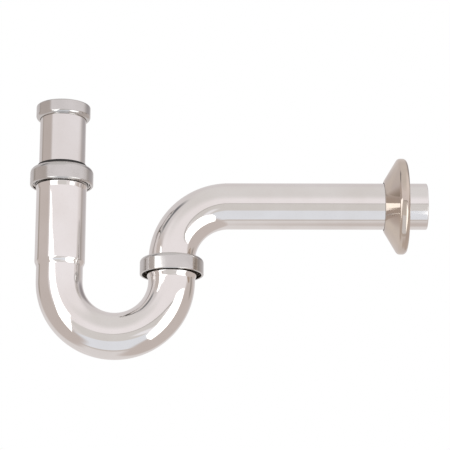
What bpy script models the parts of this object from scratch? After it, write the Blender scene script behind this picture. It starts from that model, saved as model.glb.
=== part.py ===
"""A tubular P-trap for a wash basin: chrome-plated brass tube, slip nuts and a wall escutcheon.

Units are metres and +Z is up. The origin is where the axis of the wall tube meets the wall, +X runs
along that axis towards the wall, and the trap lies in the plane Y = 0.
"""

import math

import bmesh
import bpy
from mathutils import Matrix

MM = 0.001

# Driving dimensions
TUBE_R = 16.0 * MM            # outside of the 32 mm tube
TUBE_WALL = 1.0 * MM
LEG_SPACING = 77.0 * MM       # between the axes of the two upright legs
ELBOW_R = 39.0 * MM           # bend of the wall tube, measured on its axis
WALL_RUN = 123.0 * MM         # straight wall tube, from the end of its bend to the wall
WALL_STUB = 14.0 * MM         # tube that goes into the wall
U_BEND_Z = -53.5 * MM         # height of the centre of the return bend
INLET_TOP = 72.5 * MM         # top of the inlet collar
INLET_NUT_Z = (14.2 * MM, 26.9 * MM)
UNION_NUT_Z = (-49.1 * MM, -37.8 * MM)
NUT_R = 21.9 * MM
ESCUTCHEON_R = 33.2 * MM
ESCUTCHEON_DEPTH = 15.8 * MM
GRIP_RING_R = 18.2 * MM
GRIP_RING_X = (-13.0 * MM, -10.0 * MM)

# Slip joints
FIT = 0.3 * MM                # clearance between neighbouring pieces
PITCH = 2.0 * MM
MALE_CORE_R = 19.0 * MM
FEMALE_WALL_R = 20.2 * MM
RIDGE_SIZE = 0.7 * MM         # half-width of a thread's diamond-shaped ridge
MALE_RIDGE_R = MALE_CORE_R + 0.1 * MM
FEMALE_RIDGE_R = FEMALE_WALL_R - 0.1 * MM
NUT_SHOULDER = 1.6 * MM
SLIP_RING_HEIGHT = 0.8 * MM
SLIP_RING_R = 18.9 * MM
FLANGE_HEIGHT = 1.1 * MM
GASKET_HEIGHT = 1.4 * MM
FLANGE_R = 18.8 * MM
UNION_NUT_HOLE_R = 17.2 * MM
INLET_NUT_HOLE_R = 17.5 * MM
RING_BORE_R = 0.4 * MM        # a slip ring's bore, back from the hole of its nut
THREAD_START = 0.9 * MM       # from the end of a male ring to its thread
NUT_THREAD_START = 1.3 * MM   # from the open end of a nut to its thread
NUT_THREAD_END = 3.2 * MM     # from the inside of a nut's shoulder to its thread

# Socket: the wide leg of the trap that the inlet tube slides in
SOCKET_R = 17.3 * MM
SOCKET_BORE_R = 16.4 * MM
SOCKET_NECK_Z = (-43.0 * MM, -40.0 * MM)
MOUTH_R = 18.0 * MM
MOUTH_BORE_R = 17.1 * MM
MOUTH_FLARE_Z = (9.0 * MM, 14.2 * MM)
SOCKET_MOUTH_Z = 17.2 * MM
SOCKET_RING_Z = (15.6 * MM, 19.5 * MM)
OUTLET_R = 17.2 * MM          # the outlet is swelled under its nut
OUTLET_FLARE_Z = (-52.5 * MM, -49.5 * MM)
SEAT_R = (17.3 * MM, 18.2 * MM)   # conical seat of the gasket, at its bottom and at its top
GASKET_LIP_R = 17.1 * MM
GASKET_CONE_R = (16.6 * MM, 17.6 * MM)
GASKET_CONE_BOTTOM = 16.6 * MM
SLEEVE_TOP = 29.0 * MM        # the inlet gasket's lip, just above its nut

# Inlet
INLET_TUBE_Z = (-22.0 * MM, 66.0 * MM)
COLLAR_R = 18.9 * MM
COLLAR_BOTTOM = 62.5 * MM
COLLAR_WALL_R = 16.65 * MM
COLLAR_RIDGE_SIZE = 1.0 * MM
WASHER_BORE_R = 13.0 * MM
WASHER_HEIGHT = 1.8 * MM
COLLAR_PITCH = 2.309 * MM     # 11 turns to the inch

# Fineness of the meshes
SIDES = 28
BEND_STEP = math.radians(10.0)

# Derived places
UNION_X = -(WALL_RUN + ELBOW_R)
INLET_X = UNION_X - LEG_SPACING
U_BEND_R = LEG_SPACING / 2
BORE_R = TUBE_R - TUBE_WALL
FLANGE_TOP = UNION_NUT_Z[1] - NUT_SHOULDER - 2 * FIT - SLIP_RING_HEIGHT
FLANGE_BOTTOM = FLANGE_TOP - FLANGE_HEIGHT
TRAP_MOUTH = FLANGE_BOTTOM - 2 * FIT - GASKET_HEIGHT
OUTLET_RING_HEIGHT = 2.9 * MM

CHROME = (0.80, 0.78, 0.76)
BRASS = (0.30, 0.23, 0.14)
RUBBER = (0.02, 0.02, 0.02)
NYLON = (0.82, 0.81, 0.77)


def clear_scene():
    for obj in list(bpy.data.objects):
        bpy.data.objects.remove(obj)


def new_collection(name):
    collection = bpy.data.collections.new(name)
    bpy.context.scene.collection.children.link(collection)
    return collection


def new_material(name, colour, roughness, metallic):
    material = bpy.data.materials.new(name)
    material.use_nodes = True
    shader = material.node_tree.nodes["Principled BSDF"]
    shader.inputs["Base Color"].default_value = (*colour, 1.0)
    shader.inputs["Roughness"].default_value = roughness
    shader.inputs["Metallic"].default_value = metallic
    material.diffuse_color = (*colour, 1.0)
    return material


def chrome(name, roughness=0.06):
    return new_material(name, CHROME, roughness, 1.0)


def arc(centre, radius, start, end, steps=4):
    """Points of a turned profile along a round corner, as (radius, height), angles in degrees."""
    points = []
    for i in range(steps + 1):
        angle = math.radians(start + (end - start) * i / steps)
        points.append((centre[0] + radius * math.cos(angle), centre[1] + radius * math.sin(angle)))
    return points


def turned(name, profile, material, collection, place, along_x=False, closed=True, sides=SIDES):
    """A profile of (radius, height) points turned about Z, or about X when along_x is set."""
    mesh = bpy.data.meshes.new(name)
    count = len(profile)
    edges = [(i, (i + 1) % count) for i in range(count if closed else count - 1)]
    mesh.from_pydata([(r, 0.0, z) for r, z in profile], edges, [])
    obj = bpy.data.objects.new(name, mesh)
    collection.objects.link(obj)
    obj.location = place
    if along_x:
        obj.rotation_euler = (0.0, math.pi / 2, 0.0)
    screw = obj.modifiers.new("Turn", "SCREW")
    screw.steps = sides
    screw.render_steps = sides
    screw.use_merge_vertices = True
    screw.merge_threshold = 0.00001
    screw.use_smooth_shade = True
    mesh.materials.append(material)
    return obj


def curve_mesh(name, points, radii, sides, collection, twist="MINIMUM"):
    """A tube along the points with its own radius at each, as a mesh with welded caps."""
    curve = bpy.data.curves.new(name, "CURVE")
    curve.dimensions = "3D"
    curve.twist_mode = twist
    curve.bevel_depth = 1.0
    curve.bevel_resolution = (sides - 4) // 2
    curve.use_fill_caps = True
    spline = curve.splines.new("POLY")
    spline.points.add(len(points) - 1)
    for point, place, radius in zip(spline.points, points, radii):
        point.co = (*place, 1.0)
        point.radius = radius
    guide = bpy.data.objects.new(name + "_path", curve)
    collection.objects.link(guide)
    bpy.context.view_layer.update()
    graph = bpy.context.evaluated_depsgraph_get()
    mesh = bpy.data.meshes.new_from_object(guide.evaluated_get(graph))
    mesh.name = name
    shape = bmesh.new()
    shape.from_mesh(mesh)
    bmesh.ops.remove_doubles(shape, verts=shape.verts, dist=0.000001)
    bmesh.ops.recalc_face_normals(shape, faces=shape.faces)
    shape.to_mesh(mesh)
    shape.free()
    obj = bpy.data.objects.new(name, mesh)
    collection.objects.link(obj)
    obj.matrix_world = guide.matrix_world
    bpy.data.objects.remove(guide)
    return obj


def make_cutter(obj):
    obj.hide_render = True
    obj.display_type = "WIRE"


def boolean(obj, other, operation):
    make_cutter(other)
    modifier = obj.modifiers.new(operation.title(), "BOOLEAN")
    modifier.operation = operation
    modifier.solver = "EXACT"
    modifier.object = other


def smooth(obj, angle=35.0):
    obj.data.shade_smooth()
    obj.data.set_sharp_from_angle(angle=math.radians(angle))


def centred(obj, place):
    """Moves the origin of an object to a place on its joint's axis, leaving its shape where it is."""
    obj.data.transform(Matrix.Translation((-place[0], -place[1], -place[2])))
    obj.location = place


def bend(centre_x, centre_z, radius, start, end):
    """Places along a bend in the plane Y = 0, from one angle to the other, in degrees."""
    steps = round(abs(math.radians(end - start)) / BEND_STEP)
    places = []
    for i in range(steps + 1):
        angle = math.radians(start + (end - start) * i / steps)
        x = centre_x + radius * math.cos(angle)
        z = centre_z + radius * math.sin(angle)
        places.append((x, 0.0, z))
    return places


def pipe(name, outside, inside, material, parts, cutters, origin):
    """A bent pipe. outside and inside are lists of (place, radius) along it."""
    obj = curve_mesh(name, [p for p, _ in outside], [r for _, r in outside], SIDES, parts)
    bore = curve_mesh(name + "_bore", [p for p, _ in inside], [r for _, r in inside], SIDES, cutters)
    obj.data.materials.append(material)
    centred(obj, origin)
    smooth(obj)
    boolean(obj, bore, "DIFFERENCE")
    return obj


def ridge(name, radius, size, low, high, datum, pitch, cutters, place):
    """A right-hand thread's ridge, wound from low to high and fading at both ends.

    Its corners lie at the same angles as the corners of a turned piece, so it sits true on the facets.
    """
    first = math.ceil((low - datum) / pitch * SIDES)
    last = math.floor((high - datum) / pitch * SIDES)
    points = []
    radii = []
    for i in range(first, last + 1):
        angle = 2 * math.pi * i / SIDES
        x = place[0] + radius * math.cos(angle)
        y = place[1] + radius * math.sin(angle)
        points.append((x, y, datum + pitch * i / SIDES))
        fade = min(1.0, 0.35 + 0.65 * min(i - first, last - i) / 6)
        radii.append(size * fade)
    return curve_mesh(name, points, radii, 4, cutters, twist="Z_UP")


def annulus(inner, outer, low, high):
    """The profile of a flat ring, its outer side first and running down."""
    return [(outer, high), (outer, low), (inner, low), (inner, high)]


def wall_tube(parts, cutters):
    """Flanged end, bend and wall tube in one piece, with a rounded end in the wall."""
    axis = (UNION_X, 0.0, 0.0)
    end = WALL_STUB
    outside = [((UNION_X, 0.0, FLANGE_BOTTOM), FLANGE_R), ((UNION_X, 0.0, FLANGE_TOP), FLANGE_R)]
    outside += [((UNION_X, 0.0, FLANGE_TOP + 0.1 * MM), TUBE_R)]
    route = bend(UNION_X + ELBOW_R, -ELBOW_R, ELBOW_R, 180.0, 90.0)
    outside += [(place, TUBE_R) for place in route]
    outside += [((end - 0.8 * MM, 0.0, 0.0), TUBE_R), ((end - 0.25 * MM, 0.0, 0.0), TUBE_R - 0.2 * MM)]
    outside += [((end, 0.0, 0.0), TUBE_R - 0.5 * MM)]
    inside = [((UNION_X, 0.0, FLANGE_BOTTOM - MM), BORE_R)]
    inside += [(place, BORE_R) for place in route]
    inside += [((end + MM, 0.0, 0.0), BORE_R)]
    pipe("wall_tube", outside, inside, chrome("wall_tube_chrome"), parts, cutters, axis)


def trap_bend(parts, cutters):
    """Wide socket, neck and return bend in one piece."""
    low, high = SOCKET_NECK_Z
    route = bend(INLET_X + U_BEND_R, U_BEND_Z, U_BEND_R, 180.0, 360.0)
    leg = [(SOCKET_MOUTH_Z, MOUTH_R), (MOUTH_FLARE_Z[1], MOUTH_R), (MOUTH_FLARE_Z[0], SOCKET_R)]
    leg += [(high, SOCKET_R), (low, TUBE_R)]
    outside = [((INLET_X, 0.0, z), radius) for z, radius in leg]
    outside += [(place, TUBE_R) for place in route]
    leg = [(OUTLET_FLARE_Z[0], TUBE_R), (OUTLET_FLARE_Z[1], OUTLET_R), (TRAP_MOUTH, OUTLET_R)]
    outside += [((UNION_X, 0.0, z), radius) for z, radius in leg]
    leg = [(SOCKET_MOUTH_Z + MM, MOUTH_BORE_R), (MOUTH_FLARE_Z[1], MOUTH_BORE_R)]
    leg += [(MOUTH_FLARE_Z[0], SOCKET_BORE_R), (high + 0.4 * MM, SOCKET_BORE_R), (low + 0.2 * MM, BORE_R)]
    inside = [((INLET_X, 0.0, z), radius) for z, radius in leg]
    inside += [(place, BORE_R) for place in route]
    inside += [((UNION_X, 0.0, TRAP_MOUTH + MM), BORE_R)]
    origin = (UNION_X, 0.0, 0.0)
    pipe("trap_bend", outside, inside, chrome("trap_bend_chrome"), parts, cutters, origin)


def threaded_ring(name, profile, low, high, place, parts, cutters):
    """A brass ring brazed on a tube's mouth, with the male thread of a slip joint."""
    obj = turned(name, profile, new_material(name + "_brass", BRASS, 0.35, 1.0), parts, place)
    thread = ridge(name + "_thread", MALE_RIDGE_R, RIDGE_SIZE, low, high, low, PITCH, cutters, place)
    boolean(obj, thread, "UNION")


def socket_thread_ring(parts, cutters):
    """It caps the flared mouth of the socket, and its bore is the seat of the cone gasket."""
    low, high = SOCKET_RING_Z
    step = SOCKET_MOUTH_Z + FIT
    profile = [(MALE_CORE_R, high), (MALE_CORE_R, low), (MOUTH_R + FIT, low), (MOUTH_R + FIT, step)]
    profile += [(SEAT_R[0], step), (SEAT_R[1], high)]
    place = (INLET_X, 0.0, 0.0)
    low_end, high_end = low + THREAD_START, high - THREAD_START
    threaded_ring("socket_thread_ring", profile, low_end, high_end, place, parts, cutters)


def outlet_thread_ring(parts, cutters):
    low = TRAP_MOUTH - OUTLET_RING_HEIGHT
    profile = annulus(OUTLET_R + FIT, MALE_CORE_R, low, TRAP_MOUTH)
    place = (UNION_X, 0.0, 0.0)
    low_end, high_end = low + THREAD_START, TRAP_MOUTH - THREAD_START
    threaded_ring("outlet_thread_ring", profile, low_end, high_end, place, parts, cutters)


def slip_nut(name, span, hole, shoulder_radius, edge, datum, place, parts, cutters):
    """A round slip nut: open below with a chamfered edge, threaded inside, its shoulder rounded."""
    low, high = span
    profile = arc((NUT_R - shoulder_radius, high - shoulder_radius), shoulder_radius, 90.0, 0.0)
    profile += [(NUT_R, low + edge), (NUT_R - edge, low), (FEMALE_WALL_R, low)]
    profile += [(FEMALE_WALL_R, high - NUT_SHOULDER), (hole, high - NUT_SHOULDER), (hole, high)]
    obj = turned(name, profile, chrome(name + "_chrome", 0.16), parts, place)
    bottom, top = low + NUT_THREAD_START, high - NUT_SHOULDER - NUT_THREAD_END
    start = datum + PITCH / 2
    thread = ridge(name + "_thread", FEMALE_RIDGE_R, RIDGE_SIZE, bottom, top, start, PITCH, cutters, place)
    boolean(obj, thread, "UNION")


def union_joint(parts, cutters):
    """What clamps the flange of the wall tube on the trap's outlet mouth."""
    place = (UNION_X, 0.0, 0.0)
    gasket_low = TRAP_MOUTH + FIT
    ring = annulus(BORE_R + 0.2 * MM, FLANGE_R, gasket_low, gasket_low + GASKET_HEIGHT)
    turned("union_gasket", ring, new_material("union_gasket_rubber", RUBBER, 0.6, 0.0), parts, place)
    ring_low = FLANGE_TOP + FIT
    ring_top = ring_low + SLIP_RING_HEIGHT
    ring = annulus(UNION_NUT_HOLE_R - RING_BORE_R, SLIP_RING_R, ring_low, ring_top)
    turned("union_slip_ring", ring, new_material("union_slip_ring_nylon", NYLON, 0.4, 0.0), parts, place)
    datum = TRAP_MOUTH - OUTLET_RING_HEIGHT + THREAD_START
    shoulder, edge = 3.0 * MM, 0.4 * MM
    slip_nut("union_nut", UNION_NUT_Z, UNION_NUT_HOLE_R, shoulder, edge, datum, place, parts, cutters)


def inlet_joint(parts, cutters):
    """What seals the inlet tube in the socket: cone gasket with a lip, slip ring and nut."""
    place = (INLET_X, 0.0, 0.0)
    ring_top = INLET_NUT_Z[1] - NUT_SHOULDER - FIT
    ring_low = ring_top - SLIP_RING_HEIGHT
    edge = 0.3 * MM
    top, bottom = ring_low - FIT, SOCKET_RING_Z[1] + FIT
    shape = [(GASKET_LIP_R - edge, SLEEVE_TOP), (GASKET_LIP_R, SLEEVE_TOP - edge), (GASKET_LIP_R, top)]
    shape += [(SLIP_RING_R, top), (SLIP_RING_R, bottom), (GASKET_CONE_R[1], bottom)]
    shape += [(GASKET_CONE_R[0], GASKET_CONE_BOTTOM), (TUBE_R + FIT, GASKET_CONE_BOTTOM)]
    shape += [(TUBE_R + FIT, SLEEVE_TOP)]
    turned("inlet_gasket", shape, new_material("inlet_gasket_rubber", RUBBER, 0.6, 0.0), parts, place)
    ring = annulus(GASKET_LIP_R + FIT, SLIP_RING_R, ring_low, ring_top)
    turned("inlet_slip_ring", ring, new_material("inlet_slip_ring_nylon", NYLON, 0.4, 0.0), parts, place)
    datum = SOCKET_RING_Z[0] + THREAD_START
    shoulder, edge = 4.0 * MM, 1.0 * MM
    slip_nut("inlet_nut", INLET_NUT_Z, INLET_NUT_HOLE_R, shoulder, edge, datum, place, parts, cutters)


def inlet(parts, cutters):
    """The telescopic tube, the threaded collar brazed on its top and the flat washer inside that."""
    place = (INLET_X, 0.0, 0.0)
    low, high = INLET_TUBE_Z
    turned("inlet_tube", annulus(BORE_R, TUBE_R, low, high), chrome("inlet_tube_chrome"), parts, place)

    top_edge = 1.2 * MM
    bottom_edge = 2.0 * MM
    shelf = high + FIT
    profile = arc((COLLAR_R - top_edge, INLET_TOP - top_edge), top_edge, 90.0, 0.0)
    profile += arc((COLLAR_R - bottom_edge, COLLAR_BOTTOM + bottom_edge), bottom_edge, 0.0, -90.0)
    step = high - FIT
    profile += [(TUBE_R + FIT, COLLAR_BOTTOM), (TUBE_R + FIT, step)]
    profile += [(COLLAR_WALL_R, step), (COLLAR_WALL_R, INLET_TOP)]
    collar = turned("inlet_collar", profile, chrome("inlet_collar_chrome", 0.12), parts, place)
    thread_low, thread_high = shelf + 3.2 * MM, INLET_TOP - 1.2 * MM
    thread_r = COLLAR_WALL_R - 0.05 * MM
    thread = ridge("inlet_collar_thread", thread_r, COLLAR_RIDGE_SIZE, thread_low, thread_high,
                   thread_low, COLLAR_PITCH, cutters, place)
    boolean(collar, thread, "UNION")

    washer = annulus(WASHER_BORE_R, TUBE_R + FIT, shelf, shelf + WASHER_HEIGHT)
    turned("inlet_washer", washer, new_material("inlet_washer_rubber", RUBBER, 0.6, 0.0), parts, place)


def escutcheon(parts):
    """A pressed cone with a rolled rim, held on the wall tube by a rubber ring behind its neck."""
    corner = 1.5 * MM
    neck = ESCUTCHEON_DEPTH
    front = 6.8 * MM
    profile = [(17.0 * MM, neck), (18.0 * MM, neck - 0.3 * MM)]
    profile += arc((ESCUTCHEON_R - corner, front - corner), corner, 62.0, 0.0, 3)
    profile += arc((ESCUTCHEON_R - corner, corner), corner, 0.0, -90.0, 3)
    profile += [(ESCUTCHEON_R - 3.2 * MM, 0.0)]
    place = (0.0, 0.0, 0.0)
    shape = [(r, -z) for r, z in profile][::-1]
    material = chrome("escutcheon_chrome", 0.08)
    obj = turned("escutcheon", shape, material, parts, place, along_x=True, closed=False, sides=36)
    shell = obj.modifiers.new("Sheet", "SOLIDIFY")
    shell.thickness = 0.9 * MM
    shell.offset = -1.0
    shell.use_even_offset = True

    ring = annulus(TUBE_R + FIT, GRIP_RING_R, *GRIP_RING_X)
    material = new_material("escutcheon_grip_ring_rubber", RUBBER, 0.6, 0.0)
    turned("escutcheon_grip_ring", ring, material, parts, place, along_x=True)


def main():
    clear_scene()
    parts = new_collection("P-trap")
    cutters = new_collection("P-trap cutters")
    wall_tube(parts, cutters)
    trap_bend(parts, cutters)
    socket_thread_ring(parts, cutters)
    outlet_thread_ring(parts, cutters)
    union_joint(parts, cutters)
    inlet_joint(parts, cutters)
    inlet(parts, cutters)
    escutcheon(parts)


main()
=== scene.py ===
"""The looks of a chrome-plated tubular P-trap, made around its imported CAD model. Units are metres."""

import math

import bpy
import numpy as np
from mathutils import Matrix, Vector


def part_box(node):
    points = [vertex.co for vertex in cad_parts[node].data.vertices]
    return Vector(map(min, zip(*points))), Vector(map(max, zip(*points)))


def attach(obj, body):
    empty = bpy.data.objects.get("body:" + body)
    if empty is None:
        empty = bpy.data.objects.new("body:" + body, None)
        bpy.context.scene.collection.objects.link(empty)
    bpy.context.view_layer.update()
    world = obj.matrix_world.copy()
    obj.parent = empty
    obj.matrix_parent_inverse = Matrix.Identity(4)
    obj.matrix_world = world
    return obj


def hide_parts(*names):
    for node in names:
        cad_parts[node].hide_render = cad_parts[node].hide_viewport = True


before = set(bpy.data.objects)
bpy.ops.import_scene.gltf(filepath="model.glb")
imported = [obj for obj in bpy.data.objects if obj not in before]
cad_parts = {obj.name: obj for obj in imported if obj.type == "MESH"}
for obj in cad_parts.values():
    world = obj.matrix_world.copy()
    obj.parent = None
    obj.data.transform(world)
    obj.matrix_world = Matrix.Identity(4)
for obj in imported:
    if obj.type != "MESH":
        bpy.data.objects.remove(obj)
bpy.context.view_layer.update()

MM = 0.001

# Read from the frame
WALL_LOW, WALL_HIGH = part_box("wall_tube")
TRAP_LOW, TRAP_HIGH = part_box("trap_bend")
TUBE_LOW, TUBE_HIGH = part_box("inlet_tube")
COLLAR_LOW, COLLAR_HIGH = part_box("inlet_collar")
WASHER_LOW, WASHER_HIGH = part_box("inlet_washer")
INLET_NUT_LOW, INLET_NUT_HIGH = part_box("inlet_nut")
UNION_NUT_LOW, UNION_NUT_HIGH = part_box("union_nut")
INLET_RING_LOW, INLET_RING_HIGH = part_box("inlet_slip_ring")
UNION_RING_LOW, UNION_RING_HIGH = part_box("union_slip_ring")
INLET_GASKET_LOW, INLET_GASKET_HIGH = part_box("inlet_gasket")
UNION_GASKET_LOW, UNION_GASKET_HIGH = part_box("union_gasket")
SOCKET_RING_LOW, SOCKET_RING_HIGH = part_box("socket_thread_ring")
OUTLET_RING_LOW, OUTLET_RING_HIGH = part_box("outlet_thread_ring")
ESCUTCHEON_LOW, ESCUTCHEON_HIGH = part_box("escutcheon")
GRIP_LOW, GRIP_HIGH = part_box("escutcheon_grip_ring")

INLET_X = (TUBE_LOW.x + TUBE_HIGH.x) / 2
UNION_X = (UNION_RING_LOW.x + UNION_RING_HIGH.x) / 2
TUBE_R = TUBE_HIGH.y
BORE_R = TUBE_R - 1.0 * MM
NUT_R = UNION_NUT_HIGH.y
COLLAR_R = COLLAR_HIGH.y
ESCUTCHEON_R = ESCUTCHEON_HIGH.y
MOUTH_R = TRAP_HIGH.y
FLANGE_R = WALL_HIGH.y
U_BEND_R = (UNION_X - INLET_X) / 2
U_BEND_Z = TRAP_LOW.z + U_BEND_R + TUBE_R
ELBOW_R = 39.0 * MM

# The gap between neighbours
FIT = 0.3 * MM

# Trap bend and wall tube. A flare or neck runs between two heights.
SOCKET_R = 17.3 * MM
SOCKET_BORE_R = 16.4 * MM
OUTLET_R = 17.2 * MM
MOUTH_WALL = 0.9 * MM
FLANGE_THICKNESS = 1.1 * MM
OUTLET_FLARE_Z = (-52.4 * MM, -49.6 * MM)
NECK_Z = (-43.2 * MM, -40.6 * MM)
NECK_BORE_Z = (-42.8 * MM, -39.6 * MM)
MOUTH_FLARE_Z = (10.6 * MM, 13.3 * MM)
MOUTH_FLARE_BORE_Z = (11.0 * MM, 14.2 * MM)

# Slip joints and collar, as in the CAD model. The first crest of a male thread is FIRST_CREST
# above the ring's low face.
FEMALE_WALL_R = 20.2 * MM
MALE_CORE_R = 19.0 * MM
COLLAR_WALL_R = 16.65 * MM
PITCH = 2.0 * MM
COLLAR_PITCH = 2.309 * MM
THREAD_DEPTH = 0.75 * MM
COLLAR_THREAD_DEPTH = 1.0 * MM
FIRST_CREST = 0.9 * MM
RING_THREAD_MARGIN = 0.4 * MM
COLLAR_THREAD_MARGIN = 0.7 * MM
NUT_THREAD_START = 0.9 * MM
NUT_THREAD_END = 2.6 * MM
NUT_SHOULDER = 1.6 * MM
INLET_NUT_HOLE_R = 17.5 * MM
UNION_NUT_HOLE_R = 17.2 * MM
SEAT_LOW_R = 17.3 * MM
SEAT_HIGH_R = 18.2 * MM
GASKET_LIP_R = 17.1 * MM
GASKET_CONE_R = 17.6 * MM
GASKET_TIP_R = 16.6 * MM
UNION_GASKET_BORE_R = 15.2 * MM
WASHER_BORE_R = 13.0 * MM
INLET_RING_BORE_R = 17.4 * MM
UNION_RING_BORE_R = 16.8 * MM
COLLAR_CLEARANCE = 0.1 * MM

# Escutcheon
SHEET = 0.9 * MM
CURL_R = 30.0 * MM
CONE_R = 18.0 * MM
CONE_HOLE_R = 16.45 * MM
RIM_WIDTH = 6.3 * MM

# Meshes
SIDES = 128
ESCUTCHEON_SIDES = 192
BEND_STEP = 1.3 * MM
THREAD_STEP = 0.12 * MM
PLATED, BARE, THREADED = 0, 1, 2
# A thread's ridge, in half pitches from its crest, and its fading ends, in pitches
RIDGE_FOOT = 0.66
RIDGE_FLANK = 0.42
RUN_OUT = 0.35

# The two colours that each surface varies between
CHROME = ((0.80, 0.775, 0.755), (0.855, 0.84, 0.83))
TURNED_PLATE = ((0.59, 0.58, 0.565), (0.665, 0.655, 0.645))
WARM_PLATE = ((0.60, 0.53, 0.48), (0.70, 0.62, 0.53))
BORE_BRASS = ((0.20, 0.15, 0.10), (0.05, 0.04, 0.03))
# Thread brass: tarnished brass kept near black as painted shade of the recesses round the threads
THREAD_BRASS_WITH_RECESS_SHADE = ((0.10, 0.08, 0.06), (0.03, 0.025, 0.02))
RUBBER = ((0.010, 0.010, 0.011), (0.028, 0.027, 0.026))
NYLON = ((0.70, 0.69, 0.64), (0.80, 0.79, 0.75))
FLOOR_PAINT = ((0.80, 0.79, 0.775), (0.84, 0.83, 0.82))


# Outlines. A corner is (radius, place along the axis, corner radius, surface of the side after it),
# and the corners run down the outer side first.

def rounded(corners, steps=6):
    """The outline as points (radius, along, normal across, normal along, surface)."""
    points = []
    count = len(corners)
    for i, (across, along, radius, surface) in enumerate(corners):
        here = np.array((across, along))
        before = here - np.array(corners[i - 1][:2])
        after = np.array(corners[(i + 1) % count][:2]) - here
        reach_before, reach_after = np.linalg.norm(before), np.linalg.norm(after)
        before /= reach_before
        after /= reach_after
        turn = math.atan2(before[0] * after[1] - before[1] * after[0], before @ after)
        normal = np.array((-before[1], before[0]))
        cut = min(radius * math.tan(abs(turn) / 2), 0.95 * reach_before, 0.95 * reach_after)
        radius = cut / math.tan(abs(turn) / 2)
        side = -1 if turn < 0 else 1
        centre = here - before * cut + side * normal * radius
        arcs = max(2, math.ceil(steps * abs(turn) / (math.pi / 2)))
        for k in range(arcs + 1):
            angle = turn * k / arcs
            n = np.array((normal[0] * math.cos(angle) - normal[1] * math.sin(angle),
                          normal[0] * math.sin(angle) + normal[1] * math.cos(angle)))
            place = centre - side * n * radius
            points.append((*place, *n, surface))
    return points


def refined(points, low, high, step, only=None):
    """More points on the sides between low and high, or on one surface only."""
    result = []
    for i, point in enumerate(points):
        result.append(point)
        after = points[(i + 1) % len(points)]
        start, end = sorted((point[1], after[1]))
        if (only is not None and point[4] != only) or end <= low or start >= high:
            continue
        first, last = max(start, low), min(end, high)
        pieces = max(1, math.ceil((last - first) / step))
        shares = [(first + (last - first) * k / pieces - point[1]) / (after[1] - point[1])
                  for k in range(pieces + 1)]
        for share in sorted(s for s in shares if 0.001 < s < 0.999):
            between = [point[k] + (after[k] - point[k]) * share for k in range(4)]
            result.append((*between, point[4]))
    return result


# Routes give the centre, the direction and the two axes across at a place along a piece

def upright(x):
    def route(s):
        return (x, 0.0, s), (0.0, 0.0, 1.0), (1.0, 0.0, 0.0), (0.0, 1.0, 0.0)
    return route


def to_wall(s):
    return (s, 0.0, 0.0), (1.0, 0.0, 0.0), (0.0, 1.0, 0.0), (0.0, 0.0, 1.0)


def bent(centre_x, centre_z, radius, start, turn):
    """Straight, then a bend in the plane Y = 0 from s = 0, then straight. Angles are in radians."""
    sign = math.copysign(1.0, turn)
    length = radius * abs(turn)

    def route(s):
        angle = start + sign * min(max(s, 0.0), length) / radius
        x, z = centre_x + radius * math.cos(angle), centre_z + radius * math.sin(angle)
        tx, tz = -sign * math.sin(angle), sign * math.cos(angle)
        rest = s if s < 0 else max(0.0, s - length)
        return (x + tx * rest, 0.0, z + tz * rest), (tx, 0.0, tz), (0.0, 1.0, 0.0), (-tz, 0.0, tx)
    return route, length


class Thread:
    """A right-hand screw thread on an upright piece, fading out at both ends."""

    def __init__(self, low, high, pitch, depth, datum, inward):
        self.low = low
        self.high = high
        self.pitch = pitch
        self.depth = -depth if inward else depth
        self.datum = datum

    def height(self, angle, along):
        turn = (along - self.datum) / self.pitch - angle / (2 * math.pi)
        from_crest = abs(turn - np.round(turn)) * 2
        ridge = np.clip((RIDGE_FOOT - from_crest) / RIDGE_FLANK, 0, 1)
        ridge = ridge * ridge * (3 - 2 * ridge)
        fade = np.clip(min(along - self.low, self.high - along) / (RUN_OUT * self.pitch), 0, 1)
        return self.depth * ridge * fade


def turned(name, outline, route, body, node_name, materials, thread=None, sides=SIDES):
    """The outline carried round a route: a closed mesh with the outline's own exact normals."""
    angles = np.arange(sides) * 2 * math.pi / sides
    rings = np.zeros((len(outline), sides, 3))
    normals = np.zeros_like(rings)
    for i, (across, along, n_across, n_along, surface) in enumerate(outline):
        centre, ahead, u, v = (np.array(part) for part in route(along))
        spoke = np.outer(np.cos(angles), u) + np.outer(np.sin(angles), v)
        reach = np.full(sides, across)
        if thread and surface == THREADED and abs(n_across) > 0.99:
            reach += thread.height(angles, along)
        rings[i] = centre + spoke * reach[:, None]
        normals[i] = spoke * n_across + ahead * n_along
    if thread:
        around = np.roll(rings, -1, 1) - np.roll(rings, 1, 1)
        down = np.roll(rings, -1, 0) - np.roll(rings, 1, 0)
        leaning = np.cross(around, down)
        leaning /= np.linalg.norm(leaning, axis=2, keepdims=True) + 1e-12
        leaning *= np.sign((leaning * normals).sum(2, keepdims=True))
        for i, point in enumerate(outline):
            if point[4] == THREADED and thread.low < point[1] < thread.high and abs(point[2]) > 0.99:
                normals[i] = leaning[i]

    count = len(outline)
    index = np.arange(count * sides).reshape(count, sides)
    below = np.roll(index, -1, 0)
    faces = np.stack([index, below, np.roll(below, -1, 1), np.roll(index, -1, 1)], axis=2)
    faces = faces.reshape(-1, 4)
    flat = rings.reshape(-1, 3)
    a, b, c = (flat[faces[:, k]] for k in range(3))
    facing = (np.cross(b - a, c - a) * normals.reshape(-1, 3)[faces[:, 0]]).sum()
    if facing < 0:
        faces = faces[:, ::-1]
    mesh = bpy.data.meshes.new(name)
    mesh.from_pydata(flat.tolist(), [], faces.tolist())
    surfaces = np.repeat([min(point[4], len(materials) - 1) for point in outline], sides)
    mesh.polygons.foreach_set("material_index", surfaces)
    for material in materials:
        mesh.materials.append(material)
    mesh.shade_smooth()
    mesh.normals_split_custom_set_from_vertices(normals.reshape(-1, 3).tolist())
    piece = bpy.data.objects.new(name, mesh)
    bpy.context.scene.collection.objects.link(piece)
    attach(piece, body)
    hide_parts(node_name)


# Materials

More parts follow.
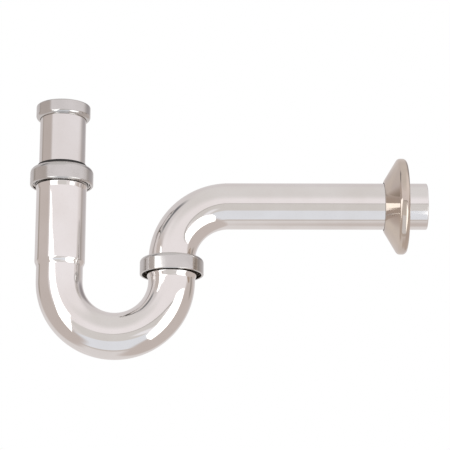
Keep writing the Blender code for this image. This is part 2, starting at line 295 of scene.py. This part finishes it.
def new_tree(name):
    material = bpy.data.materials.new(name)
    material.use_nodes = True
    tree = material.node_tree
    return material, tree, tree.nodes["Principled BSDF"]


def node(tree, kind, values=None, **settings):
    """A node with its settings, and its inputs set or linked by name."""
    made = tree.nodes.new(kind)
    for name, value in settings.items():
        setattr(made, name, value)
    for name, value in (values or {}).items():
        if isinstance(value, bpy.types.NodeSocket):
            tree.links.new(value, made.inputs[name])
        else:
            made.inputs[name].default_value = value
    return made


def noise(tree, scale, detail=2.0, stretch=(1.0, 1.0, 1.0), roughness=0.5):
    coordinates = node(tree, "ShaderNodeTexCoord").outputs["Object"]
    moved = node(tree, "ShaderNodeMapping", {"Vector": coordinates, "Scale": stretch}).outputs["Vector"]
    return node(tree, "ShaderNodeTexNoise", {"Vector": moved, "Scale": scale, "Detail": detail,
                                             "Roughness": roughness}).outputs["Fac"]


def spread(tree, value, low, high, start=0.3, end=0.7):
    return node(tree, "ShaderNodeMapRange", {"Value": value, "From Min": start, "From Max": end,
                                             "To Min": low, "To Max": high}).outputs["Result"]


def blended(tree, share, first, second):
    """A colour between two others, which are colours or sockets."""
    made = tree.nodes.new("ShaderNodeMix")
    made.data_type = "RGBA"
    for socket, value in ((made.inputs[0], share), (made.inputs[6], first), (made.inputs[7], second)):
        if isinstance(value, bpy.types.NodeSocket):
            tree.links.new(value, socket)
        elif isinstance(value, tuple):
            socket.default_value = (*value, 1.0)
        else:
            socket.default_value = value
    return made.outputs[2]


def bump(tree, height, distance, normal=None):
    values = {"Height": height, "Strength": 1.0, "Distance": distance}
    if normal:
        values["Normal"] = normal
    return node(tree, "ShaderNodeBump", values).outputs["Normal"]


def connect(tree, shader, **sockets):
    for name, socket in sockets.items():
        tree.links.new(socket, shader.inputs[name.replace("_", " ")])


def polished_chrome(name, grain, shade=1.0):
    """Bright plate with polishing marks along grain and slight waves. A shade below 1 is painted shade.
    """
    material, tree, shader = new_tree(name)
    shader.inputs["Metallic"].default_value = 1.0
    film = noise(tree, 38.0, 4.0)
    marks = noise(tree, 900.0, 2.0, grain)
    waves = noise(tree, 34.0, 1.0)
    tones = [tuple(shade * part for part in tone) for tone in CHROME]
    colour = blended(tree, spread(tree, film, 0.0, 1.0), *tones)
    rough = spread(tree, marks, 0.035, 0.075)
    normal = bump(tree, waves, 0.00003)
    normal = bump(tree, marks, 0.0000006, normal)
    connect(tree, shader, Base_Color=colour, Roughness=rough, Normal=normal)
    return material


def turned_chrome(name, smoothest, roughest, depth):
    """Plate over the rings, of some depth, that a lathe tool leaves round an upright axis."""
    material, tree, shader = new_tree(name)
    shader.inputs["Metallic"].default_value = 1.0
    rings = noise(tree, 1.0, 3.0, (6.0, 6.0, 2600.0), 0.6)
    film = noise(tree, 60.0, 3.0)
    colour = blended(tree, spread(tree, film, 0.0, 1.0), *TURNED_PLATE)
    rough = spread(tree, rings, smoothest, roughest)
    connect(tree, shader, Base_Color=colour, Roughness=rough, Normal=bump(tree, rings, depth))
    return material


def warm_plate(name):
    """Thin plate over pressed sheet, with the brass showing warm through it in patches."""
    material, tree, shader = new_tree(name)
    shader.inputs["Metallic"].default_value = 1.0
    patches = noise(tree, 75.0, 3.0)
    waves = noise(tree, 120.0, 2.0)
    colour = blended(tree, spread(tree, patches, 0.0, 1.0), *WARM_PLATE)
    rough = spread(tree, waves, 0.03, 0.07)
    connect(tree, shader, Base_Color=colour, Roughness=rough, Normal=bump(tree, waves, 0.00001))
    return material


def bare_brass(name, lighter_tone, darker_tone):
    """Unplated brass with tool marks and brown tarnish; thread brass also has painted shade."""
    material, tree, shader = new_tree(name)
    shader.inputs["Metallic"].default_value = 1.0
    tarnish = noise(tree, 140.0, 5.0)
    tool = noise(tree, 1.0, 3.0, (40.0, 40.0, 3000.0))
    colour = blended(tree, spread(tree, tarnish, 0.0, 1.0), lighter_tone, darker_tone)
    rough = spread(tree, tarnish, 0.35, 0.6)
    connect(tree, shader, Base_Color=colour, Roughness=rough, Normal=bump(tree, tool, 0.000008))
    return material


def rubber(name):
    """Matte black rubber with bloom and a moulded grain."""
    material, tree, shader = new_tree(name)
    bloom = noise(tree, 220.0, 4.0)
    grain = noise(tree, 4200.0, 2.0)
    colour = blended(tree, spread(tree, bloom, 0.0, 1.0), *RUBBER)
    rough = spread(tree, bloom, 0.52, 0.72)
    connect(tree, shader, Base_Color=colour, Roughness=rough, Normal=bump(tree, grain, 0.00001))
    return material


def nylon(name):
    """Moulded natural nylon, slightly uneven in tone."""
    material, tree, shader = new_tree(name)
    tone = noise(tree, 160.0, 3.0)
    grain = noise(tree, 2600.0, 2.0)
    colour = blended(tree, spread(tree, tone, 0.0, 1.0), *NYLON)
    rough = spread(tree, tone, 0.34, 0.5)
    connect(tree, shader, Base_Color=colour, Roughness=rough, Normal=bump(tree, grain, 0.000006))
    return material


# Pieces

def make_wall_tube(chrome, bore):
    start = -ELBOW_R
    route, length = bent(UNION_X + ELBOW_R, -ELBOW_R, ELBOW_R, math.pi, -math.pi / 2)
    end = length + WALL_HIGH.x - (UNION_X + ELBOW_R)
    flange_low = WALL_LOW.z - start
    flange_high = flange_low + FLANGE_THICKNESS
    corners = [
        (TUBE_R, end, 0.65 * MM, PLATED),
        (TUBE_R, flange_high, 0.5 * MM, PLATED),
        (FLANGE_R, flange_high, 0.3 * MM, PLATED),
        (FLANGE_R, flange_low, 0.3 * MM, PLATED),
        (BORE_R, flange_low, 0.4 * MM, BARE),
        (BORE_R, end, 0.3 * MM, PLATED),
    ]
    outline = refined(rounded(corners), 0.0, length, BEND_STEP)
    turned("chrome_wall_tube", outline, route, "wall_pipe", "wall_tube", [chrome, bore])


def make_trap_bend(chrome, bore):
    route, length = bent(INLET_X + U_BEND_R, U_BEND_Z, U_BEND_R, math.pi, math.pi)

    def at(height):
        return U_BEND_Z - height

    outlet = length + (OUTLET_RING_HIGH.z - U_BEND_Z)
    flare_low, flare_high = (length + height - U_BEND_Z for height in OUTLET_FLARE_Z)
    mouth_bore = MOUTH_R - MOUTH_WALL
    corners = [
        (OUTLET_R, outlet, 0.2 * MM, PLATED),
        (OUTLET_R, flare_high, 3.0 * MM, PLATED),
        (TUBE_R, flare_low, 3.0 * MM, PLATED),
        (TUBE_R, at(NECK_Z[0]), 5.0 * MM, PLATED),
        (SOCKET_R, at(NECK_Z[1]), 4.0 * MM, PLATED),
        (SOCKET_R, at(MOUTH_FLARE_Z[0]), 2.0 * MM, PLATED),
        (MOUTH_R, at(MOUTH_FLARE_Z[1]), 2.0 * MM, PLATED),
        (MOUTH_R, at(TRAP_HIGH.z), 0.3 * MM, PLATED),
        (mouth_bore, at(TRAP_HIGH.z), 0.2 * MM, BARE),
        (mouth_bore, at(MOUTH_FLARE_BORE_Z[1]), 4.0 * MM, BARE),
        (SOCKET_BORE_R, at(MOUTH_FLARE_BORE_Z[0]), 4.0 * MM, BARE),
        (SOCKET_BORE_R, at(NECK_BORE_Z[1]), 3.0 * MM, BARE),
        (BORE_R, at(NECK_BORE_Z[0]), 3.0 * MM, BARE),
        (BORE_R, outlet, 0.2 * MM, PLATED),
    ]
    outline = refined(rounded(corners), 0.0, length, BEND_STEP)
    turned("chrome_trap_bend", outline, route, "trap", "trap_bend", [chrome, bore])


def make_nut(name, node_name, x, low, high, hole, shoulder, edge, datum, finish, bore):
    """A slip nut, whose body has its node's name. Its thread is in phase with a male one at datum."""
    corners = [
        (NUT_R, high, shoulder, PLATED),
        (NUT_R, low, edge, PLATED),
        (FEMALE_WALL_R, low, 0.25 * MM, THREADED),
        (FEMALE_WALL_R, high - NUT_SHOULDER, 0.3 * MM, BARE),
        (hole, high - NUT_SHOULDER, 0.2 * MM, BARE),
        (hole, high, 0.35 * MM, PLATED),
    ]
    bottom, top = low + NUT_THREAD_START, high - NUT_SHOULDER - NUT_THREAD_END
    thread = Thread(bottom, top, PITCH, THREAD_DEPTH, datum + PITCH / 2, inward=True)
    outline = refined(rounded(corners, 10), bottom, top, THREAD_STEP, only=THREADED)
    turned(name, outline, upright(x), node_name, node_name, [finish, bore], thread)


def male_thread(low, high):
    """The thread of a ring that reaches from low to high."""
    return Thread(low + RING_THREAD_MARGIN, high - RING_THREAD_MARGIN, PITCH, THREAD_DEPTH,
                  low + FIRST_CREST, inward=False)


def make_socket_ring(plate, brass):
    low, high = SOCKET_RING_LOW.z, SOCKET_RING_HIGH.z
    step = TRAP_HIGH.z + FIT
    corners = [
        (MALE_CORE_R, high, 0.3 * MM, THREADED),
        (MALE_CORE_R, low, 0.2 * MM, PLATED),
        (MOUTH_R + FIT, low, 0.15 * MM, BARE),
        (MOUTH_R + FIT, step, 0.15 * MM, BARE),
        (SEAT_LOW_R, step, 0.2 * MM, BARE),
        (SEAT_HIGH_R, high, 0.2 * MM, BARE),
    ]
    thread = male_thread(low, high)
    outline = refined(rounded(corners), thread.low, thread.high, THREAD_STEP, only=THREADED)
    turned("brass_socket_thread", outline, upright(INLET_X), "trap", "socket_thread_ring",
           [plate, brass], thread)


def make_outlet_ring(brass):
    low, high = OUTLET_RING_LOW.z, OUTLET_RING_HIGH.z
    corners = [
        (MALE_CORE_R, high, 0.3 * MM, THREADED),
        (MALE_CORE_R, low, 0.3 * MM, BARE),
        (OUTLET_R + FIT, low, 0.2 * MM, BARE),
        (OUTLET_R + FIT, high, 0.2 * MM, BARE),
    ]
    thread = male_thread(low, high)
    outline = refined(rounded(corners), thread.low, thread.high, THREAD_STEP, only=THREADED)
    turned("brass_outlet_thread", outline, upright(UNION_X), "trap", "outlet_thread_ring",
           [brass], thread)


def make_ring(name, node_name, body, x, inner, low, high, material, edge=0.2 * MM):
    """A plain ring whose outer radius is the CAD node's."""
    outer = high.y
    corners = [(outer, high.z, edge, PLATED), (outer, low.z, edge, PLATED),
               (inner, low.z, edge, PLATED), (inner, high.z, edge, PLATED)]
    turned(name, rounded(corners), upright(x), body, node_name, [material])


def make_inlet_gasket(material):
    flange = INLET_GASKET_HIGH.y
    inner = TUBE_R + FIT
    shelf = INLET_RING_LOW.z - FIT
    seat = SOCKET_RING_HIGH.z + FIT
    top, low = INLET_GASKET_HIGH.z, INLET_GASKET_LOW.z
    corners = [
        (GASKET_LIP_R, top, 0.3 * MM, PLATED),
        (GASKET_LIP_R, shelf, 0.2 * MM, PLATED),
        (flange, shelf, 0.4 * MM, PLATED),
        (flange, seat, 0.4 * MM, PLATED),
        (GASKET_CONE_R, seat, 0.2 * MM, PLATED),
        (GASKET_TIP_R, low, 0.1 * MM, PLATED),
        (inner, low, 0.1 * MM, PLATED),
        (inner, top, 0.2 * MM, PLATED),
    ]
    turned("rubber_inlet_gasket", rounded(corners), upright(INLET_X), "trap", "inlet_gasket",
           [material])


def make_inlet_tube(chrome, bore):
    low, high = TUBE_LOW.z, TUBE_HIGH.z
    corners = [(TUBE_R, high, 0.3 * MM, PLATED), (TUBE_R, low, 0.4 * MM, PLATED),
               (BORE_R, low, 0.3 * MM, BARE), (BORE_R, high, 0.2 * MM, PLATED)]
    turned("chrome_inlet_tube", rounded(corners), upright(INLET_X), "inlet", "inlet_tube",
           [chrome, bore])


def make_inlet_collar(finish, bore):
    low, high = COLLAR_LOW.z, COLLAR_HIGH.z
    shelf = TUBE_HIGH.z - FIT
    bore_r = TUBE_R + COLLAR_CLEARANCE
    corners = [
        (COLLAR_R, high, 1.2 * MM, PLATED),
        (COLLAR_R, low, 2.6 * MM, PLATED),
        (bore_r, low, 0.15 * MM, BARE),
        (bore_r, shelf, 0.1 * MM, BARE),
        (COLLAR_WALL_R, shelf, 0.2 * MM, THREADED),
        (COLLAR_WALL_R, high, 0.3 * MM, PLATED),
    ]
    bottom, top = WASHER_HIGH.z + COLLAR_THREAD_MARGIN, high - COLLAR_THREAD_MARGIN
    thread = Thread(bottom, top, COLLAR_PITCH, COLLAR_THREAD_DEPTH, WASHER_HIGH.z, inward=True)
    outline = refined(rounded(corners, 10), bottom, top, THREAD_STEP, only=THREADED)
    turned("chrome_inlet_collar", outline, upright(INLET_X), "inlet", "inlet_collar",
           [finish, bore], thread)


def make_escutcheon(chrome, bore):
    """A pressed cone with a rounded rim, whose edge is curled in flat against the wall at X = 0."""
    front = ESCUTCHEON_LOW.x
    inside = ESCUTCHEON_R - SHEET
    corners = [
        (ESCUTCHEON_R, 0.0, 3.0 * MM, PLATED),
        (ESCUTCHEON_R, -RIM_WIDTH, 3.0 * MM, PLATED),
        (CONE_R, front + 0.3 * MM, 1.2 * MM, PLATED),
        (CONE_HOLE_R, front, 0.3 * MM, BARE),
        (CONE_HOLE_R, front + SHEET, 0.3 * MM, BARE),
        (CONE_R - 0.5 * MM, front + 1.1 * MM, 0.8 * MM, BARE),
        (inside, 0.3 * MM - RIM_WIDTH, 0.8 * MM, BARE),
        (inside, -SHEET, 0.6 * MM, BARE),
        (CURL_R, -SHEET, 0.25 * MM, PLATED),
        (CURL_R, 0.0, 0.25 * MM, PLATED),
    ]
    turned("chrome_escutcheon", rounded(corners, 8), to_wall, "escutcheon", "escutcheon",
           [chrome, bore], sides=ESCUTCHEON_SIDES)


def make_grip_ring(material):
    inner, outer = TUBE_R + FIT, GRIP_HIGH.y
    corners = [(outer, GRIP_HIGH.x, 0.9 * MM, PLATED), (outer, GRIP_LOW.x, 0.9 * MM, PLATED),
               (inner, GRIP_LOW.x, 0.3 * MM, PLATED), (inner, GRIP_HIGH.x, 0.3 * MM, PLATED)]
    turned("rubber_grip_ring", rounded(corners), to_wall, "escutcheon_ring", "escutcheon_grip_ring",
           [material])


def make_pieces():
    along_leg = (1.0, 1.0, 0.06)
    along_wall = (0.06, 1.0, 1.0)
    bore = bare_brass("bare bore", *BORE_BRASS)
    brass = bare_brass("thread brass", *THREAD_BRASS_WITH_RECESS_SHADE)
    black = rubber("black rubber")
    white = nylon("natural nylon")
    nut_finish = turned_chrome("nut chrome", 0.10, 0.17, 0.009 * MM)
    collar_finish = turned_chrome("collar chrome", 0.05, 0.11, 0.004 * MM)
    make_wall_tube(polished_chrome("wall tube chrome", along_wall), bore)
    make_trap_bend(polished_chrome("trap bend chrome", along_leg), bore)
    # The inlet tube's chrome is darkened to 0.91 of the others: painted shade.
    make_inlet_tube(polished_chrome("inlet tube chrome", along_leg, 0.91), bore)
    make_escutcheon(warm_plate("escutcheon plate"), bore)
    make_inlet_collar(collar_finish, bore)
    make_nut("chrome_inlet_nut", "inlet_nut", INLET_X, INLET_NUT_LOW.z, INLET_NUT_HIGH.z,
             INLET_NUT_HOLE_R, 3.95 * MM, 1.1 * MM, SOCKET_RING_LOW.z + FIRST_CREST,
             nut_finish, nut_finish)
    # The union nut's inside takes the near-black thread brass: painted shade in its recess.
    make_nut("chrome_union_nut", "union_nut", UNION_X, UNION_NUT_LOW.z, UNION_NUT_HIGH.z,
             UNION_NUT_HOLE_R, 3.0 * MM, 0.4 * MM, OUTLET_RING_LOW.z + FIRST_CREST,
             nut_finish, brass)
    # The threads and the outlet ring are near-black brass: painted shade in the recess under the nut.
    make_socket_ring(nut_finish, brass)
    make_outlet_ring(brass)
    make_inlet_gasket(black)
    make_ring("rubber_union_gasket", "union_gasket", "trap", UNION_X, UNION_GASKET_BORE_R,
              UNION_GASKET_LOW, UNION_GASKET_HIGH, black, 0.3 * MM)
    make_ring("rubber_inlet_washer", "inlet_washer", "inlet_washer", INLET_X, WASHER_BORE_R,
              WASHER_LOW, WASHER_HIGH, black, 0.4 * MM)
    make_ring("nylon_inlet_slip_ring", "inlet_slip_ring", "inlet_ring", INLET_X, INLET_RING_BORE_R,
              INLET_RING_LOW, INLET_RING_HIGH, white)
    make_ring("nylon_union_slip_ring", "union_slip_ring", "union_ring", UNION_X, UNION_RING_BORE_R,
              UNION_RING_LOW, UNION_RING_HIGH, white)
    make_grip_ring(black)


# Studio

CAMERA_PLACE = (-0.1249, -1.2419, -0.3573)
CAMERA_DEGREES = (105.48, -0.10, 0.0)
LENS_MM = 149.3
FLOOR_SIDE = 6.0
FLOOR_Z = -0.62
LEFT_CARD_X = INLET_X - 0.10
RIGHT_CARD_X = WALL_HIGH.x + 0.066
CARD_GLOW = 1.9
# The corners (y, z) of the two light cards
LEFT_CARD = [(-0.10, -0.19), (-0.10, -0.115), (-0.125, -0.075), (-0.125, -0.03), (-0.105, -0.02),
             (-0.105, 0.046), (-0.122, 0.046), (-0.15, 0.040), (-0.16, 0.027), (-0.30, 0.032),
             (-0.60, 0.065), (-0.60, -0.005), (-0.34, -0.09)]
RIGHT_CARD = [(-0.085, -0.043), (-0.085, -0.47), (-0.20, -0.50), (-0.40, -0.50), (-0.48, -0.40),
              (-0.47, -0.19), (-0.33, -0.043)]


def make_camera():
    """It looks along +Y and up at the trap, from below and well in front."""
    data = bpy.data.cameras.new("camera")
    data.lens = LENS_MM
    data.sensor_width = 36.0
    data.clip_end = 30.0
    camera = bpy.data.objects.new("camera", data)
    camera.location = CAMERA_PLACE
    camera.rotation_euler = [math.radians(angle) for angle in CAMERA_DEGREES]
    bpy.context.scene.collection.objects.link(camera)
    bpy.context.scene.camera = camera


def make_light_card(name, x, outline):
    """A lit card upright in the plane x, seen only in the plating. Its outline is (y, z) corners."""
    mesh = bpy.data.meshes.new(name)
    mesh.from_pydata([(x, y, z) for y, z in outline], [], [range(len(outline))])
    material = bpy.data.materials.new(name)
    material.use_nodes = True
    tree = material.node_tree
    tree.nodes.remove(tree.nodes["Principled BSDF"])
    glow = node(tree, "ShaderNodeEmission", {"Color": (1.0, 1.0, 1.0, 1.0), "Strength": CARD_GLOW})
    tree.links.new(glow.outputs["Emission"], tree.nodes["Material Output"].inputs["Surface"])
    mesh.materials.append(material)
    card = bpy.data.objects.new(name, mesh)
    card.visible_camera = False
    card.visible_diffuse = False
    card.visible_shadow = False
    bpy.context.scene.collection.objects.link(card)


def make_light_cards():
    make_light_card("light card on the left", LEFT_CARD_X, LEFT_CARD)
    make_light_card("light card on the right", RIGHT_CARD_X, RIGHT_CARD)


def make_floor():
    mesh = bpy.data.meshes.new("floor")
    signs = ((-1, -1), (1, -1), (1, 1), (-1, 1))
    corners = [(across * FLOOR_SIDE, away * FLOOR_SIDE, FLOOR_Z) for across, away in signs]
    mesh.from_pydata(corners, [], [(0, 1, 2, 3)])
    material, tree, shader = new_tree("studio floor")
    tone = noise(tree, 3.0, 3.0)
    connect(tree, shader, Base_Color=blended(tree, tone, *FLOOR_PAINT))
    shader.inputs["Roughness"].default_value = 0.8
    mesh.materials.append(material)
    floor = bpy.data.objects.new("floor", mesh)
    floor.visible_glossy = False
    bpy.context.scene.collection.objects.link(floor)


# Soft panels round the object. Each is a rounded rectangle in a direction (azimuth from the front
# toward the wall, elevation), with half sizes, a tilt and a soft edge as a share of its size.
# Angles are in degrees.
PANELS = [
    ("glow over the front", (25, 30), (75, 40), 0, 0.55, (0.95, 0.90, 0.91)),
    ("dull ceiling over the front", (-10, 66), (26, 38), 0, 0.5, (0.78, 0.75, 0.74)),
    ("cool light from below", (-5, -60), (48, 25), 0, 0.08, (0.84, 0.86, 0.91)),
    ("dark edge below", (0, -88), (60, 4), 0, 0.4, (0.64, 0.59, 0.56)),
    ("dim room on the left", (-84, -14), (38, 44), 0, 0.22, (0.61, 0.54, 0.51)),
    ("dim room on the right", (112, -32), (42, 48), 0, 0.2, (0.62, 0.55, 0.52)),
    ("dim front", (0, -19), (26, 17.5), 0, 0.12, (0.73, 0.70, 0.68)),
    ("glow beside the right card", (22, -24.5), (12, 4.5), 18, 0.35, (0.95, 0.93, 0.96)),
    ("edge of the table", (22, -2), (30, 1.3), 0, 0.4, (0.52, 0.49, 0.47)),
    ("dark gap high on the left", (-84, 47), (8, 13), 0, 0.5, (0.2, 0.2, 0.21)),
    ("dark gap behind on the right", (137, 31), (17, 14), 0, 0.6, (0.34, 0.31, 0.32)),
    ("dark gap beside the wall", (115, 8), (6, 8), 0, 0.6, (0.35, 0.31, 0.28)),
    ("dark gap beside the leg", (-114, 10), (5, 9), 0, 0.6, (0.4, 0.35, 0.31)),
]
CEILING = (0.73, 0.69, 0.69)
GROUND = (0.79, 0.75, 0.74)
DIFFUSE_BOOST = 1.35


def direction_axes(azimuth, elevation, tilt):
    """The panel's direction, and the directions of its width and its height."""
    a, e, t = (math.radians(value) for value in (azimuth, elevation, tilt))
    ahead = np.array((math.sin(a) * math.cos(e), -math.cos(a) * math.cos(e), math.sin(e)))
    right = np.array((math.cos(a), math.sin(a), 0.0))
    up = np.cross(right, ahead)
    return ahead, right * math.cos(t) + up * math.sin(t), up * math.cos(t) - right * math.sin(t)


def maths(tree, operation, first, second=0.0):
    made = node(tree, "ShaderNodeMath", operation=operation)
    for socket, value in zip(made.inputs, (first, second)):
        if isinstance(value, bpy.types.NodeSocket):
            tree.links.new(value, socket)
        else:
            socket.default_value = value
    return made.outputs["Value"]


def along_axis(tree, direction, axis):
    made = node(tree, "ShaderNodeVectorMath", operation="DOT_PRODUCT")
    tree.links.new(direction, made.inputs[0])
    made.inputs[1].default_value = tuple(axis)
    return made.outputs["Value"]


def panel_mask(tree, direction, name, place, half_sizes, tilt, softness):
    """1 inside the panel and 0 outside."""
    ahead, *across = (along_axis(tree, direction, axis) for axis in direction_axes(*place, tilt))
    in_front = maths(tree, "MAXIMUM", ahead, 0.02)
    fourth_powers = []
    for part, half_size in zip(across, half_sizes):
        reach = maths(tree, "MULTIPLY", in_front, math.tan(math.radians(half_size)))
        share = maths(tree, "DIVIDE", part, reach)
        fourth_powers.append(maths(tree, "POWER", maths(tree, "ABSOLUTE", share), 4.0))
    outward = maths(tree, "POWER", maths(tree, "ADD", *fourth_powers), 0.25)
    values = {"Value": outward, "From Min": 1 - softness, "From Max": 1 + softness,
              "To Min": 1.0, "To Max": 0.0}
    return node(tree, "ShaderNodeMapRange", values, label=name,
                interpolation_type="SMOOTHSTEP").outputs["Result"]


def make_world():
    """A soft studio all round: white behind the object, and panels that show only in its plating."""
    world = bpy.data.worlds.new("studio")
    bpy.context.scene.world = world
    world.use_nodes = True
    tree = world.node_tree
    direction = node(tree, "ShaderNodeTexCoord").outputs["Generated"]
    height = along_axis(tree, direction, (0.0, 0.0, 1.0))
    above = spread(tree, height, 0.0, 1.0, -0.05, 0.05)
    colour = blended(tree, above, GROUND, CEILING)
    for *panel, panel_colour in PANELS:
        mask = panel_mask(tree, direction, *panel)
        colour = blended(tree, mask, colour, panel_colour)
    path = node(tree, "ShaderNodeLightPath")
    colour = blended(tree, path.outputs["Is Camera Ray"], colour, (1.0, 1.0, 1.0))
    strength = spread(tree, path.outputs["Is Diffuse Ray"], 1.0, DIFFUSE_BOOST, 0.0, 1.0)
    background = tree.nodes["Background"]
    tree.links.new(colour, background.inputs["Color"])
    tree.links.new(strength, background.inputs["Strength"])


make_pieces()
make_camera()
make_light_cards()
make_floor()
make_world()
bpy.context.scene.view_settings.view_transform = "Standard"
